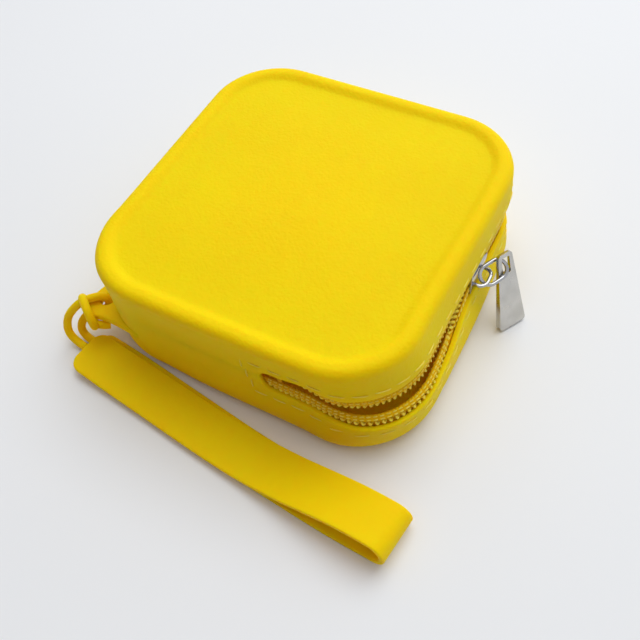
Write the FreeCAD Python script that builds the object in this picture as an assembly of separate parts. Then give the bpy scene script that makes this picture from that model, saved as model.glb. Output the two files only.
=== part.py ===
import FreeCAD, Part
import math
import os

Vector = FreeCAD.Vector

# Case: one silicone moulding, square in plan with rounded corners
case_width = 110.0
case_height = 41.5
case_corner_radius = 24.0
wall = 1.8
floor_thickness = 2.2
lid_thickness = 3.0
base_edge_radius = 6.0
lid_edge_radius = 5.0
rim_width = 7.0
dish_depth = 1.2
dish_edge_radius = 0.8

# Mouth: the slot that the zip closes, round the right half of the case
lip_below_top = 13.5
mouth_opening = 10.0
slot_end = 13.0
fold_gap = 0.3

# Ear that the wrist strap is hitched to, on the front left corner
ear_low = 12.5
ear_thickness = 3.0
ear_reach = 8.46
ear_tip_width = 8.8
ear_sunk = 6.84
ear_root_width = 24.0
ear_side_shift = 3.6
ear_corner_radius = 2.0
ear_hole_radius = 2.3
ear_hole_from_tip = 4.4

# Zip tape, sewn to the inside of the wall
tape_thickness = 0.6
tape_fit = 0.1
tape_tuck = 5.0
thread_from_lip = 3.4
stitch_length = 3.0
stitch_pitch = 4.4
stitch_width = 0.4
stitch_proud = 0.3
stitch_fit = 0.08
end_row_from_slot = 3.2

# Zip teeth, and how far each row stands back from the middle where the zip is open
tooth_pitch = 1.85
tooth_reach = 2.5
tooth_overlap = 0.3
tooth_thickness = 1.8
tooth_outward = 0.2
neck_width = 0.6
head_width = 0.84
neck_share = 0.55
head_share = 0.68
tooth_seat = 0.05
mouth_gape = 2.0
slider_gape = 1.0
end_gape = 0.4
stop_width = 1.6

# Slider on the right wall
slider_front = 1.5
slider_length = 13.5
slider_wide_half = 4.5
slider_narrow_half = 3.3
slider_nose_half = 1.3
slider_nose = 3.0
plate_thickness = 1.2
plate_clearance = 0.3
flange_width = 0.6
flange_clearance = 0.3
wedge_half = 0.45
wedge_start = 0.8
wedge_flat = 2.2
wedge_length = 4.4
closing_length = 7.5
opening_length = 3.0

# Bail over the slider's outer plate
bail_start = 0.4
bail_length = 8.6
bail_inside = 3.8
bail_thickness = 0.8
bail_leg = 1.0
bail_width = 1.1
bail_corner_radius = 0.8

# Oval ring that joins the bail to the pull tab
ring_wire = 1.0
ring_length = 9.5
ring_width = 6.4
ring_from_leg = 2.0
ring_from_plate = 1.9
ring_turn = 31.2
ring_tilt = 40.0
ring_lift = 8.0

# Cast pull tab, standing on the table and leaning on the ring
tab_lean = 17.3
tab_bottom_width = 10.4
tab_top_width = 5.2
tab_foot_thickness = 2.4
tab_head_thickness = 1.1
tab_corner_radius = 1.2
tab_turn = 30.7
tab_side_shift = 0.2
eye_width = 3.0
eye_height = 6.2
eye_bar = 1.4
eye_corner_radius = 0.4

# Wrist strap: a flat silicone band folded back on itself, lying on the table
strap_from_side = 2.2
strap_from_front = 5.0
strap_turn = -7.2
strap_length = 124.5
strap_width = 16.0
strap_thickness = 1.7
strap_layer_gap = 0.1
strap_parting = 62.0
strap_bight_radius = 4.9
strap_corner_radius = 4.0

# Cord from the strap, through the ear and back
cord_diameter = 2.8
cord_route = [
    (-57.46, -61.68, 1.75), (-61.4, -61.19, 1.75), (-65.0, -60.6, 5.4), (-65.4, -58.0, 10.2),
    (-62.7, -55.4, 14.4), (-59.3, -52.5, 17.4), (-53.95, -47.75, 17.4), (-53.95, -47.75, 10.3),
    (-58.7, -51.9, 10.3), (-61.2, -54.6, 8.9), (-62.4, -57.0, 5.2), (-60.6, -57.86, 1.75),
    (-57.04, -58.30, 1.75)]
band_route = [
    (-59.0, -45.2, 10.6), (-62.3, -48.9, 12.2), (-60.0, -51.0, 13.9),
    (-55.6, -55.5, 13.9), (-53.0, -57.2, 12.0), (-49.9, -54.0, 10.3)]

# Working values
overrun = 5.0
same_place = 0.01
arc_share = 0.45

half = case_width / 2
corner_start = half - case_corner_radius
upper_lip = case_height - lip_below_top
lower_lip = upper_lip - mouth_opening
mouth_middle = (lower_lip + upper_lip) / 2
slot_half = mouth_opening / 2
fold_line = slot_end + slot_half
tape_outer = half - wall - tape_fit
tooth_line = tape_outer - tape_thickness / 2 + tooth_outward
reach = half + overrun
corner_out = corner_start * math.sqrt(2) + case_corner_radius
ear_tip = corner_out + ear_reach
ear_root = corner_out - ear_sunk
strap_start = Vector(-half - strap_from_side, -half - strap_from_front, 0)

os.makedirs("parts", exist_ok=True)


def export(name, shape):
    """Write one node's solid or group of solids."""
    shape.exportStep("parts/" + name + ".step")


def box(low, high):
    """Box between two corners."""
    size = high - low
    return Part.makeBox(size.x, size.y, size.z, low)


def rounded_block(half_width, low, high):
    """Square block centred on the case, its upright corners concentric with the case's."""
    radius = half_width - corner_start
    block = box(Vector(-half_width, -half_width, low), Vector(half_width, half_width, high))
    upright = [edge for edge in block.Edges if edge.BoundBox.ZLength > same_place]
    return block.makeFillet(radius, upright)


def round_rim(block, level, radius):
    """Round the edges that lie at one level."""
    rim = []
    for edge in block.Edges:
        bounds = edge.BoundBox
        if abs(bounds.ZMin - level) < same_place and abs(bounds.ZMax - level) < same_place:
            rim.append(edge)
    return block.makeFillet(radius, rim)


def prism(points, along):
    """Solid made by moving a flat polygon along a vector."""
    return Part.Face(Part.makePolygon(points + points[:1])).extrude(along)


def make_shell():
    """The whole moulding before the mouth is cut: floor, walls, lid and its raised rim."""
    outer = rounded_block(half, 0, case_height)
    outer = round_rim(outer, 0, base_edge_radius)
    outer = round_rim(outer, case_height, lid_edge_radius)
    ceiling = case_height - lid_thickness
    inner = rounded_block(half - wall, floor_thickness, ceiling)
    inner = round_rim(inner, floor_thickness, base_edge_radius - wall)
    inner = round_rim(inner, ceiling, lid_edge_radius - wall)
    dish = rounded_block(half - rim_width, case_height - dish_depth, case_height + overrun)
    dish = round_rim(dish, case_height - dish_depth, dish_edge_radius)
    return outer.cut(inner).cut(dish)


def make_slot():
    """The mouth: round at both ends, through the front, right and back walls."""
    end = Part.makeCylinder(slot_half, 2 * reach, Vector(fold_line, -reach, mouth_middle), Vector(0, 1, 0))
    run = box(Vector(fold_line, -reach, lower_lip), Vector(reach, reach, upper_lip))
    return end.fuse(run)


def ear_point(out, across, level):
    """Place given along the front left diagonal and across it."""
    diagonal = math.sqrt(2)
    return Vector((across - out) / diagonal, (-out - across) / diagonal, level)


def make_ear():
    """Flat web that tapers from the corner of the case to its tip, with the hitch hole."""
    sides = [(ear_root, -ear_root_width / 2), (ear_tip, -ear_side_shift - ear_tip_width / 2),
             (ear_tip, ear_tip_width / 2 - ear_side_shift), (ear_root, ear_root_width / 2)]
    outline = [ear_point(out, across, ear_low) for out, across in sides]
    web = prism(outline, Vector(0, 0, ear_thickness))
    tip_edges = []
    for edge in web.Edges:
        middle = edge.CenterOfMass
        beyond = -(middle.x + middle.y) / math.sqrt(2) > ear_tip - same_place
        if edge.BoundBox.ZLength > same_place and beyond:
            tip_edges.append(edge)
    web = web.makeFillet(ear_corner_radius, tip_edges)
    hole_foot = ear_point(ear_tip - ear_hole_from_tip, -ear_side_shift, ear_low - overrun)
    hole = Part.makeCylinder(ear_hole_radius, ear_thickness + 2 * overrun, hole_foot)
    inside = rounded_block(half - wall, 0, case_height)
    return web.cut(hole).cut(inside)


def make_case():
    """The moulding cut in two at the line where its lid folds back."""
    shell = make_shell().cut(make_slot())
    beyond_fold = Vector(reach, reach, case_height + overrun)
    removed = box(Vector(fold_line - fold_gap / 2, -reach, mouth_middle), beyond_fold)
    kept = box(Vector(fold_line + fold_gap / 2, -reach, mouth_middle), beyond_fold)
    export("case_shell", shell.cut(removed).fuse(make_ear()).removeSplitter())
    export("lid_flap", shell.common(kept))


# Gape of the zip: how far each row stands back, at places along the right and front walls
slider_back = slider_front + slider_length
wedge_y = slider_front + opening_length
side_gapes = [(reach, 0.0), (wedge_y + closing_length / 2, 0.0), (wedge_y, slider_gape),
              (-corner_start, mouth_gape), (-reach, mouth_gape)]
front_gapes = [(reach, mouth_gape), (corner_start, mouth_gape), (fold_line, end_gape),
               (slot_end - tape_tuck - overrun, end_gape)]


def gape_at(place, stations):
    """Gape between two stations, in proportion."""
    for (start, start_gape), (end, end_gape_here) in zip(stations, stations[1:]):
        if end <= place <= start:
            return start_gape + (end_gape_here - start_gape) * (start - place) / (start - end)
    return stations[0][1]


def gape_prism(stations, to_point, along):
    """Space between the free edges of the two tapes, along one wall."""
    upper = [to_point(place, mouth_middle + tooth_reach + gape) for place, gape in stations]
    lower = [to_point(place, mouth_middle - tooth_reach - gape) for place, gape in stations]
    return prism(upper + lower[::-1], along)


def make_tapes():
    """Two woven tapes on the inside of the wall, each along one lip of the mouth."""
    low = lower_lip - tape_tuck
    high = upper_lip + tape_tuck
    band = rounded_block(tape_outer, low, high).cut(rounded_block(tape_outer - tape_thickness, low, high))
    band = band.common(box(Vector(slot_end - tape_tuck, -reach, low), Vector(reach, reach, high)))
    right = gape_prism(side_gapes, lambda y, z: Vector(corner_start, y, z), Vector(reach, 0, 0))
    front = gape_prism(front_gapes, lambda x, z: Vector(x, -reach, z), Vector(0, reach - corner_start, 0))
    back = box(Vector(0, corner_start, mouth_middle - tooth_reach),
               Vector(reach, reach, mouth_middle + tooth_reach))
    band = band.cut(right).cut(front).cut(back)
    lower = band.common(box(Vector(0, -reach, low), Vector(reach, reach, mouth_middle)))
    upper = band.common(box(Vector(fold_line + fold_gap / 2, -reach, mouth_middle), Vector(reach, reach, high)))
    ends = band.common(box(Vector(0, -reach, mouth_middle), Vector(fold_line - fold_gap / 2, reach, high)))
    export("lower_zip_tape", lower)
    export("upper_zip_tape", upper)
    export("upper_tape_ends", ends)


def path_place(distance, line, start):
    """Point, heading and gape at a distance along the mouth, from its front end to its back end."""
    radius = line - corner_start
    front_run = corner_start - start
    bend = radius * math.pi / 2
    side_run = 2 * corner_start
    if distance < front_run:
        x = start + distance
        return Vector(x, -line, 0), 0.0, gape_at(x, front_gapes)
    distance -= front_run
    if distance < bend:
        angle = distance / radius
        x = corner_start + radius * math.sin(angle)
        y = -corner_start - radius * math.cos(angle)
        return Vector(x, y, 0), math.degrees(angle), mouth_gape
    distance -= bend
    if distance < side_run:
        y = distance - corner_start
        return Vector(line, y, 0), 90.0, gape_at(y, side_gapes)
    distance -= side_run
    if distance < bend:
        angle = distance / radius
        x = corner_start + radius * math.cos(angle)
        y = corner_start + radius * math.sin(angle)
        return Vector(x, y, 0), 90.0 + math.degrees(angle), 0.0
    return Vector(corner_start - (distance - bend), line, 0), 180.0, 0.0


def path_length(line, start):
    """Length of the mouth's path between its two ends."""
    return 2 * (corner_start - start) + 2 * corner_start + math.pi * (line - corner_start)


def set_on_path(shape, place, heading, level):
    """Copy of a shape, turned to the path's heading and moved to its place."""
    copy = shape.copy()
    copy.rotate(Vector(0, 0, 0), Vector(0, 0, 1), heading)
    copy.translate(place + Vector(0, 0, level))
    return copy


def make_tooth(up):
    """One tooth with a narrow neck and a wider head, pointing up or down."""
    length = tooth_reach + tooth_overlap - tooth_seat
    neck = neck_width / 2
    head = head_width / 2
    profile = [(-neck, 0), (neck, 0), (neck, neck_share * length), (head, head_share * length),
               (head, length), (-head, length), (-head, head_share * length), (-neck, neck_share * length)]
    points = [Vector(along, -tooth_thickness / 2, up * (rise - length)) for along, rise in profile]
    return prism(points, Vector(0, tooth_thickness, 0))


def make_teeth():
    """Both rows of teeth, half a pitch apart so that they mesh where the zip is closed."""
    start = fold_line + tooth_pitch
    count = int(path_length(tooth_line, start) / tooth_pitch)
    for name, up, shift in (("lower_zip_teeth", 1, 0.0), ("upper_zip_teeth", -1, tooth_pitch / 2)):
        tooth = make_tooth(up)
        row = []
        for number in range(count):
            place, heading, gape = path_place(number * tooth_pitch + shift, tooth_line, start)
            row.append(set_on_path(tooth, place, heading, mouth_middle + up * (tooth_overlap - gape)))
        export(name, Part.makeCompound(row))


def make_stops():
    """Block that clamps the two tapes together at each end of the zip."""
    right = fold_line - fold_gap / 2
    front_half = tooth_reach + end_gape - tooth_seat
    back_half = tooth_reach - tooth_seat
    for name, side, half_height in (("front_stop", -1, front_half), ("back_stop", 1, back_half)):
        inner = side * (tooth_line - tooth_thickness / 2)
        outer = side * (tooth_line + tooth_thickness / 2)
        low = Vector(right - stop_width, min(inner, outer), mouth_middle - half_height)
        high = Vector(right, max(inner, outer), mouth_middle + half_height)
        export(name, box(low, high))


def make_stitching():
    """Rows of thread on the wall, round the mouth: one on the lid, the rest on the case."""
    line = half + stitch_fit + stitch_proud / 2
    block_low = Vector(-stitch_length / 2, -stitch_proud / 2, -stitch_width / 2)
    block_high = Vector(stitch_length / 2, stitch_proud / 2, stitch_width / 2)
    stitch = box(block_low, block_high)
    lid_row = []
    case_row = []
    start = slot_end - end_row_from_slot + stitch_pitch / 2
    lid_start = fold_line + stitch_pitch / 2
    for number in range(int(path_length(line, start) / stitch_pitch)):
        place, heading = path_place(number * stitch_pitch, line, start)[:2]
        case_row.append(set_on_path(stitch, place, heading, lower_lip - thread_from_lip))
    for number in range(int(path_length(line, lid_start) / stitch_pitch)):
        place, heading = path_place(number * stitch_pitch, line, lid_start)[:2]
        lid_row.append(set_on_path(stitch, place, heading, upper_lip + thread_from_lip))
    upright = stitch.copy()
    upright.rotate(Vector(0, 0, 0), Vector(0, 1, 0), 90)
    bottom = lower_lip - thread_from_lip + stitch_pitch / 2
    rows = int((upper_lip - lower_lip + 2 * thread_from_lip) / stitch_pitch)
    for side in (-1, 1):
        for number in range(rows):
            place = Vector(slot_end - end_row_from_slot, side * line, bottom + number * stitch_pitch)
            case_row.append(set_on_path(upright, place, 0, 0))
        place = Vector(start, side * line, upper_lip + thread_from_lip)
        case_row.append(set_on_path(stitch, place, 0, 0))
    export("case_stitching", Part.makeCompound(case_row))
    export("lid_stitching", Part.makeCompound(lid_row))


def slider_outline(x):
    """Outline of a slider plate: wide at the mouth, narrow behind, with a pointed nose."""
    nose_start = slider_back - slider_nose
    upper = [(slider_front, slider_wide_half), (nose_start, slider_narrow_half),
             (slider_back, slider_nose_half)]
    lower = [(y, -z) for y, z in reversed(upper)]
    return [Vector(x, y, mouth_middle + z) for y, z in upper + lower]


plate_inner = tooth_line + tooth_thickness / 2 + plate_clearance
plate_outer = plate_inner + plate_thickness
back_plate_outer = tooth_line - tooth_thickness / 2 - plate_clearance


def make_slider():
    """Two plates with flanged sides, joined by the wedge that parts the teeth."""
    front_plate = prism(slider_outline(plate_inner), Vector(plate_thickness, 0, 0))
    back_plate = prism(slider_outline(back_plate_outer), Vector(-plate_thickness, 0, 0))
    front_flange = plate_inner - tape_outer - flange_clearance
    back_flange = tape_outer - tape_thickness - flange_clearance - back_plate_outer
    front_rim = prism(slider_outline(plate_inner), Vector(-front_flange, 0, 0))
    back_rim = prism(slider_outline(back_plate_outer), Vector(back_flange, 0, 0))
    nose_start = slider_back - slider_nose
    channel = []
    for y, z in ((slider_front - overrun, slider_wide_half - flange_width),
                 (slider_front, slider_wide_half - flange_width),
                 (nose_start, slider_narrow_half - flange_width),
                 (slider_back + overrun, slider_narrow_half - flange_width)):
        channel.append((y, z))
    channel = channel + [(y, -z) for y, z in reversed(channel)]
    channel_points = [Vector(back_plate_outer, y, mouth_middle + z) for y, z in channel]
    channel_solid = prism(channel_points, Vector(plate_inner - back_plate_outer, 0, 0))
    wedge_points = []
    first = slider_front + wedge_start
    wedge_outline = [(first, wedge_half), (first + wedge_flat, wedge_half), (first + wedge_length, 0),
                     (first + wedge_flat, -wedge_half), (first, -wedge_half)]
    for y, z in wedge_outline:
        wedge_points.append(Vector(back_plate_outer, y, mouth_middle + z))
    wedge = prism(wedge_points, Vector(plate_inner - back_plate_outer, 0, 0))
    rims = front_rim.fuse(back_rim).cut(channel_solid)
    body = front_plate.fuse([back_plate, rims, wedge]).removeSplitter()
    export("slider_body", body)


def make_bail():
    """Bridge along the slider that the ring hangs in."""
    start = slider_front + bail_start
    outer = box(Vector(plate_outer - bail_corner_radius, start, mouth_middle - bail_width / 2),
                Vector(plate_outer + bail_inside + bail_thickness, start + bail_length,
                       mouth_middle + bail_width / 2))
    top = plate_outer + bail_inside + bail_thickness
    corners = [edge for edge in outer.Edges
               if edge.BoundBox.ZLength > same_place and edge.BoundBox.XMin > top - same_place]
    outer = outer.makeFillet(bail_corner_radius, corners)
    inner = box(Vector(plate_outer - overrun, start + bail_leg, mouth_middle - bail_width),
                Vector(plate_outer + bail_inside, start + bail_length - bail_leg, mouth_middle + bail_width))
    below = box(Vector(plate_outer - overrun, start - overrun, mouth_middle - bail_width),
                Vector(plate_outer, start + bail_length + overrun, mouth_middle + bail_width))
    export("slider_bail", outer.cut(inner).cut(below))


ring_near = Vector(plate_outer + ring_from_plate, slider_front + bail_start + bail_leg + ring_from_leg,
                   mouth_middle)


def make_ring():
    """Oval wire ring through the bail, lying along the wall and tilted outwards at its lower side."""
    bend = ring_width / 2
    wire = ring_wire / 2
    straight = ring_length - ring_width
    pieces = []
    for centre, side in ((bend, -1), (ring_length - bend, 1)):
        section = Part.Face(Part.Wire(Part.makeCircle(wire, Vector(centre, -bend, 0), Vector(side, 0, 0))))
        pieces.append(section.revolve(Vector(centre, 0, 0), Vector(0, 0, side), 180))
    for edge in (-bend, bend):
        pieces.append(Part.makeCylinder(wire, straight, Vector(bend, edge, 0), Vector(1, 0, 0)))
    ring = pieces[0].fuse(pieces[1:]).removeSplitter()
    ring.rotate(Vector(0, 0, 0), Vector(1, 0, 0), ring_tilt)
    ring.rotate(Vector(0, 0, 0), Vector(0, 1, 0), -ring_lift)
    ring.rotate(Vector(0, 0, 0), Vector(0, 0, 1), 90 - ring_turn)
    ring.translate(ring_near)
    export("pull_ring", ring)


def make_tab(hang):
    """Cast tab, wider and thicker at its foot, with the middle of its eye at a height above the foot."""
    tab_length = hang + eye_height / 2 + eye_bar
    low = tab_bottom_width / 2
    high = tab_top_width / 2
    foot = tab_foot_thickness / 2
    head = tab_head_thickness / 2
    face = [Vector(-low, -foot, 0), Vector(low, -foot, 0), Vector(high, -foot, tab_length),
            Vector(-high, -foot, tab_length)]
    side = [Vector(-low, -foot, 0), Vector(-low, foot, 0), Vector(-low, head, tab_length),
            Vector(-low, -head, tab_length)]
    tab = prism(face, Vector(0, tab_foot_thickness, 0)).common(prism(side, Vector(tab_bottom_width, 0, 0)))
    corners = [edge for edge in tab.Edges if edge.BoundBox.YLength > head and edge.BoundBox.XLength < same_place]
    tab = tab.makeFillet(tab_corner_radius, corners)
    eye_top = tab_length - eye_bar
    eye = box(Vector(-eye_width / 2, -foot - overrun, eye_top - eye_height),
              Vector(eye_width / 2, foot + overrun, eye_top))
    eye_corners = [edge for edge in eye.Edges if edge.BoundBox.YLength > same_place]
    tab = tab.cut(eye.makeFillet(eye_corner_radius, eye_corners))
    tab.translate(Vector(0, 0, -(eye_top - eye_height / 2)))
    return tab


def place_tab():
    """Stand the tab on the table and hang its eye on the far end of the ring."""
    turn = math.radians(ring_turn)
    lift = math.radians(ring_lift)
    along_ring = Vector(math.sin(turn) * math.cos(lift), math.cos(turn) * math.cos(lift), math.sin(lift))
    ring_far = ring_near + along_ring * ring_length
    lean = math.radians(tab_lean)
    hang = (ring_far.z - tab_foot_thickness / 2 * math.sin(lean)) / math.cos(lean)
    tab = make_tab(hang)
    tab.translate(Vector(-tab_side_shift, 0, 0))
    tab.rotate(Vector(0, 0, 0), Vector(1, 0, 0), -tab_lean)
    tab.rotate(Vector(0, 0, 0), Vector(0, 0, 1), 90 - tab_turn)
    tab.translate(ring_far)
    print("ring pivot", ring_near, "tab pivot", ring_far, "hang", round(hang, 2))
    export("pull_tab", tab)


def strap_outline(centre, radius, lean, rest):
    """Face seen from the side: the bight's arc, closed through the rest of its points."""
    foot = centre + Vector(0, 0, -radius)
    nose = centre + Vector(radius, 0, 0)
    shoulder = centre + lean * radius
    corners = [shoulder] + rest + [foot]
    edges = [Part.Arc(foot, nose, shoulder).toShape()]
    for start, end in zip(corners, corners[1:]):
        edges.append(Part.LineSegment(start, end).toShape())
    return Part.Face(Part.Wire(edges))


def make_strap():
    """Band folded back on itself: two layers together near the cord, parting to an open bight."""
    bight = strap_bight_radius
    end = strap_length - bight
    stack = 2 * strap_thickness + strap_layer_gap
    rise = 2 * bight - stack
    run = end - strap_parting
    slope = math.atan2(rise, run)
    lean = Vector(-math.sin(slope), 0, math.cos(slope))
    centre = Vector(end, 0, bight)
    outer = strap_outline(centre, bight, lean, [Vector(strap_parting, 0, stack), Vector(0, 0, stack),
                                                Vector(0, 0, 0)])
    inner = strap_outline(centre, bight - strap_thickness, lean,
                          [Vector(strap_parting, 0, strap_thickness)])
    band = outer.extrude(Vector(0, strap_width, 0)).cut(inner.extrude(Vector(0, strap_width, 0)))
    ends = [edge for edge in band.Edges
            if edge.BoundBox.ZLength > strap_thickness and edge.BoundBox.XMax < same_place]
    band = band.makeFillet(strap_corner_radius, ends)
    band.translate(Vector(0, -strap_width / 2, 0))
    band.rotate(Vector(0, 0, 0), Vector(0, 0, 1), strap_turn)
    band.translate(strap_start)
    export("wrist_band", band)


def make_tube(name, route, diameter):
    """Tube along straight runs joined by arcs as large as the runs allow."""
    points = [Vector(*point) for point in route]
    edges = []
    start = points[0]
    length = 0.0
    radii = []
    for before, corner, after in zip(points, points[1:], points[2:]):
        arriving = (corner - before).normalize()
        leaving = (after - corner).normalize()
        turn = arriving.getAngle(leaving)
        cut_back = arc_share * min((corner - before).Length, (after - corner).Length)
        arc_start = corner - arriving * cut_back
        arc_end = corner + leaving * cut_back
        radius = cut_back / math.tan(turn / 2)
        inward = (leaving - arriving).normalize()
        centre = corner + inward * (radius / math.cos(turn / 2))
        middle = centre - inward * radius
        edges.append(Part.LineSegment(start, arc_start).toShape())
        edges.append(Part.Arc(arc_start, middle, arc_end).toShape())
        length += (arc_start - start).Length + radius * turn
        radii.append(round(radius, 2))
        start = arc_end
    edges.append(Part.LineSegment(start, points[-1]).toShape())
    length += (points[-1] - start).Length
    section = Part.Wire(Part.makeCircle(diameter / 2, points[0], points[1] - points[0]))
    tube = Part.Wire(edges).makePipeShell([section], True, False)
    expected = math.pi * diameter ** 2 / 4 * length
    print(name, "length", round(length, 1), "radii", radii, "volume share", round(tube.Volume / expected, 4))
    export(name, tube)


make_case()
make_tapes()
make_teeth()
make_stops()
make_stitching()
make_slider()
make_bail()
make_ring()
place_tab()
make_strap()
make_tube("strap_cord", cord_route, cord_diameter)
make_tube("cord_hitch", band_route, cord_diameter)
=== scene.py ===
import math

import bmesh
import bpy
import numpy as np
from mathutils import Matrix, Vector
from mathutils.geometry import intersect_line_line_2d


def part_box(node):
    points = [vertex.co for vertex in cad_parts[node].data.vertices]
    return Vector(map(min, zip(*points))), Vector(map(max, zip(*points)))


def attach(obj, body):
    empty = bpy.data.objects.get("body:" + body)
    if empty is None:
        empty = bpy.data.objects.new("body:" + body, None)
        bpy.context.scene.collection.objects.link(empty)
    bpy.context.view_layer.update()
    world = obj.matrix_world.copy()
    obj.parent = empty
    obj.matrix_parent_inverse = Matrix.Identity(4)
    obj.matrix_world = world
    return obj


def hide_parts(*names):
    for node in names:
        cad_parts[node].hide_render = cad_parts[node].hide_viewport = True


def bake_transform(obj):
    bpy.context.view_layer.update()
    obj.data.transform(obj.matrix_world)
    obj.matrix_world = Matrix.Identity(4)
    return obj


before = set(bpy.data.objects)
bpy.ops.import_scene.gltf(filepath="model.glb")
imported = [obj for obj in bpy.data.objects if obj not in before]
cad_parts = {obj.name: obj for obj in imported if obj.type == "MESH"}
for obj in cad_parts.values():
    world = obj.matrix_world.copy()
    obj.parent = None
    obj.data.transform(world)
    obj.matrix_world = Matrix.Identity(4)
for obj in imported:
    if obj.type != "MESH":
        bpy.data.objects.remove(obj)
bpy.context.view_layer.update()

# Sizes below are in millimetres, and MM turns them into metres
MM = 0.001

# Camera: where it stands, what it looks along, and which way is up in the picture
camera_place = (94.535, -143.998, 221.236)
camera_forward = (-0.31659, 0.47306, -0.82218)
camera_up = (-0.34641, 0.74924, 0.56448)
camera_lens = 43.875
sensor_width = 36.0

# Case
half = 55.0
corner_radius = 24.0
corner_start = half - corner_radius
corner_run = corner_radius * math.pi / 2
side_run = 2 * corner_start
quarter = side_run + corner_run
wall = 1.8
floor_thickness = 2.2
base_radius = 6.0
top_radius = 3.2
case_top = 41.5
rim_crest = 0.9
rim_slope = 3.6
dish_depth = 1.3
dish_crown = 0.9
base_recess = 0.5
lip_radius = 0.55
lip_band = 0.8
slot_end = 13.0
mouth_middle = 23.0
end_middle = 14.8
end_reach = 3.4
end_rise = {1: 3.7, -1: 5.4}
lip_ease = 11.0

# The mouth's lips change along the mouth: (distance from the middle of the front, height)
lower_lip_line = [(0, 17.2), (18, 17.3), (24, 17.7), (31, 17.2), (38, 16.3), (46, 15.8), (66, 16.0),
                  (80, 16.7), (92, 17.8), (100, 18.0), (120, 18.0)]
upper_lip_line = [(0, 26.8), (18, 27.2), (25, 28.1), (31, 27.7), (37, 26.6), (44, 27.0), (60, 27.7),
                  (75, 28.0), (120, 28.0)]

# The soft wall leans out all the way round: at the floor, at the lower lip, at the upper lip and at the rim
wall_lean = [(0, 2.6), (24, 2.8), (36, 3.5), (50, 3.6), (68, 3.5), (80, 3.7), (107, 3.4), (135, 1.7),
             (160, 0.7), (200, 0.3), (300, 0.3), (358, 0.4), (375, 1.6), (388, 2.4), (398.8, 2.6)]
lower_lean = [(0, 0.95), (11, 0.85), (20, 0.8), (29, 1.0), (36, 2.4), (42, 3.8), (48, 4.4), (54, 4.5),
              (60, 4.1), (68, 3.6), (80, 3.3), (92, 2.0), (102, 1.1), (114, 0.8), (135, 0.5), (170, 0.2),
              (300, 0.2), (370, 0.45), (398.8, 0.95)]
upper_lean = [(0, 0.95), (11, 0.85), (20, 0.7), (34, 0.7), (46, 0.6), (60, 0.3), (80, 0.2), (100, 0.5),
              (114, 0.7), (135, 0.5), (170, 0.2), (300, 0.2), (370, 0.45), (398.8, 0.95)]
rim_lean = [(0, 2.6), (30, 2.2), (48, -0.4), (68, -2.2), (88, -1.6), (115, -0.4), (140, 0.0), (300, 0.0),
            (325, 0.0), (345, 0.2), (358, 1.2), (372, 2.5), (398.8, 2.6)]
lean_foot = 6.0

# The front left corner stands out a little at every height
corner_swell = [(326, 0.0), (340, 0.6), (350, 1.1), (360, 0.7), (372, 0.0)]

# Zip: foot and tip of each half's coil, as (distance, foot's outward place and height, tip's)
upper_coil_line = [(10, 53.0, 27.8, 53.0, 24.6), (16, 53.1, 28.4, 53.2, 25.2), (21, 53.2, 28.6, 53.5, 25.4),
                   (26, 53.2, 27.8, 53.7, 24.6), (30, 53.4, 26.8, 53.8, 23.6), (34, 53.6, 25.6, 54.1, 22.6),
                   (40, 53.7, 25.0, 54.3, 22.2), (50, 53.6, 25.1, 54.4, 22.1), (60, 53.5, 25.5, 54.5, 22.5),
                   (72, 53.4, 25.7, 54.5, 22.7), (84, 53.3, 25.9, 54.1, 22.9), (97, 53.2, 26.6, 53.5, 23.5),
                   (104, 53.2, 25.9, 53.2, 22.7)]
lower_coil_line = [(10, 53.1, 19.6, 53.4, 21.0), (13, 53.0, 20.7, 54.4, 19.0), (16, 53.0, 20.9, 54.7, 18.3),
                   (22, 53.0, 20.7, 54.8, 18.1), (29, 53.1, 20.3, 55.0, 17.9), (35, 53.8, 19.4, 55.8, 17.5),
                   (42, 54.9, 18.7, 57.3, 16.8), (50, 55.6, 18.4, 58.1, 16.6), (66, 55.2, 18.6, 57.5, 16.7),
                   (78, 54.7, 18.9, 56.5, 17.6), (88, 54.2, 18.8, 54.8, 19.8), (98, 54.0, 19.3, 53.5, 22.2),
                   (104, 53.2, 20.1, 53.2, 23.3)]
coil_start = 13.9
coil_end = 182.0
coil_pitch = 1.85
coil_wire = 0.8
coil_depth = 1.5
coil_height = 3.2
coil_seams = {"lower": (0.18, 0.48), "upper": (0.12,)}
leg_width = 1.7
closed_start = 96.0
closed_run = 6.0
closed_width = 0.66
tape_thickness = 0.5
tape_tuck = 6.0
tape_past_end = 3.0
tape_step = 1.0
tape_wall_gap = 0.2
tape_from_lip = 0.8
tape_set_front = 0.95
tape_cover = {-1: 0.64, 1: 0.42}

# Metal
bridge_metal = 1.1
bridge_sunk = 0.4
bridge_bend_share = 0.55
bridge_roundness = 0.55
ring_swell = 0.14
sharp_edge = math.radians(35)
flat_edge = math.radians(4)

# Thread
stitch_length = 4.9
stitch_pitch = 6.5
stitch_wire = 0.46
stitch_from_lip = 3.3
stitch_proud_share = 0.28
end_row = 7.0
end_row_slant = 1.1
end_row_pitch = 5.2
end_row_drop = 0.3
coil_dash_length = coil_pitch * 0.86
coil_dash_wire = 0.46

# Strap ear
ear_level = 14.0
ear_thickness = 3.0
ear_root_out = 62.5
ear_tip_out = 80.2
ear_root_half = 16.0
ear_tip_half = 3.7
ear_shift = 2.9
ear_hole_across = -3.9
ear_hole_radius = 2.3
ear_hole_from_tip = 8.3
ear_hole_lip = 0.5
ear_edge = 0.9
ear_flare = 1.15
ear_tip_bluntness = 0.6
ear_thick_root = 67.5
ear_thick_run = 5.0
ear_thickening = 0.55

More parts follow.
